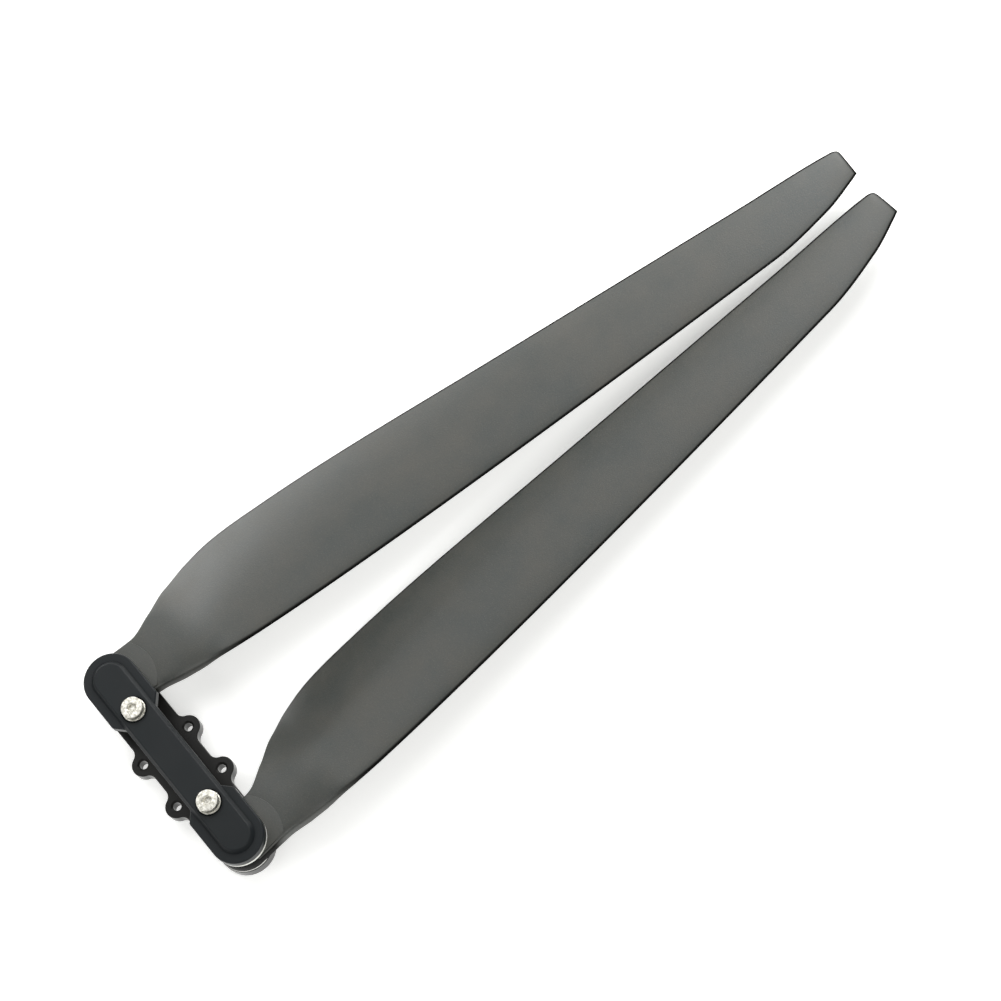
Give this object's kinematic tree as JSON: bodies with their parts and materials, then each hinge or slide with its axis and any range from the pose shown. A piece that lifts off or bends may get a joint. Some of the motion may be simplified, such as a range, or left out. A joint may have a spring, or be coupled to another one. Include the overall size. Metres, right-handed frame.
{
  "type": "folding drone propeller",
  "caption": "Folding drone propeller: two twisted carbon-nylon blades that swing on pins between a flat bottom plate with four bolting ears and a ribbed, waisted top cover.",
  "frame": {"origin": "the propeller's turning axis at the underside of the bottom plate, where it sits on the motor", "axes": "+Z along the turning axis towards the thrust side and the screw heads, +X from the left blade's pivot to the right blade's, +Y the way the folded blades point"},
  "size_m": [0.1247, 0.3551, 0.0264],
  "materials": {
    "anodised_plate": "satin black anodised",
    "stainless_steel": "turned",
    "slip_plastic": "smooth",
    "brass_bush": "turned",
    "carbon_nylon": "fine moulded grain"
  },
  "bodies": {
    "hub": {"bottom_plate": "anodised_plate", "top_cover": "anodised_plate", "threaded_post_left": "stainless_steel", "threaded_post_right": "stainless_steel", "clamp_screw_left": "stainless_steel", "clamp_screw_right": "stainless_steel", "screw_washer_left": "stainless_steel", "screw_washer_right": "stainless_steel", "pivot_pin_left": "stainless_steel", "pivot_pin_right": "stainless_steel", "steel_washer_left": "stainless_steel", "steel_washer_right": "stainless_steel", "upper_slip_washer_left": "slip_plastic", "upper_slip_washer_right": "slip_plastic", "lower_slip_washer_left": "slip_plastic", "lower_slip_washer_right": "slip_plastic"},
    "left_blade": {"blade_left": "carbon_nylon", "root_bush_left": "brass_bush"},
    "right_blade": {"blade_right": "carbon_nylon", "root_bush_right": "brass_bush"}
  },
  "joints": [
    {"name": "left_blade_fold", "type": "hinge", "parent": "hub", "child": "left_blade", "pos_m": [-0.041, 0, 0.00885], "axis": [0, 0, 1], "range_deg": [0, 190]},
    {"name": "right_blade_fold", "type": "hinge", "parent": "hub", "child": "right_blade", "pos_m": [0.041, 0, 0.00885], "axis": [0, 0, 1], "range_deg": [-190, 0]}
  ]
}
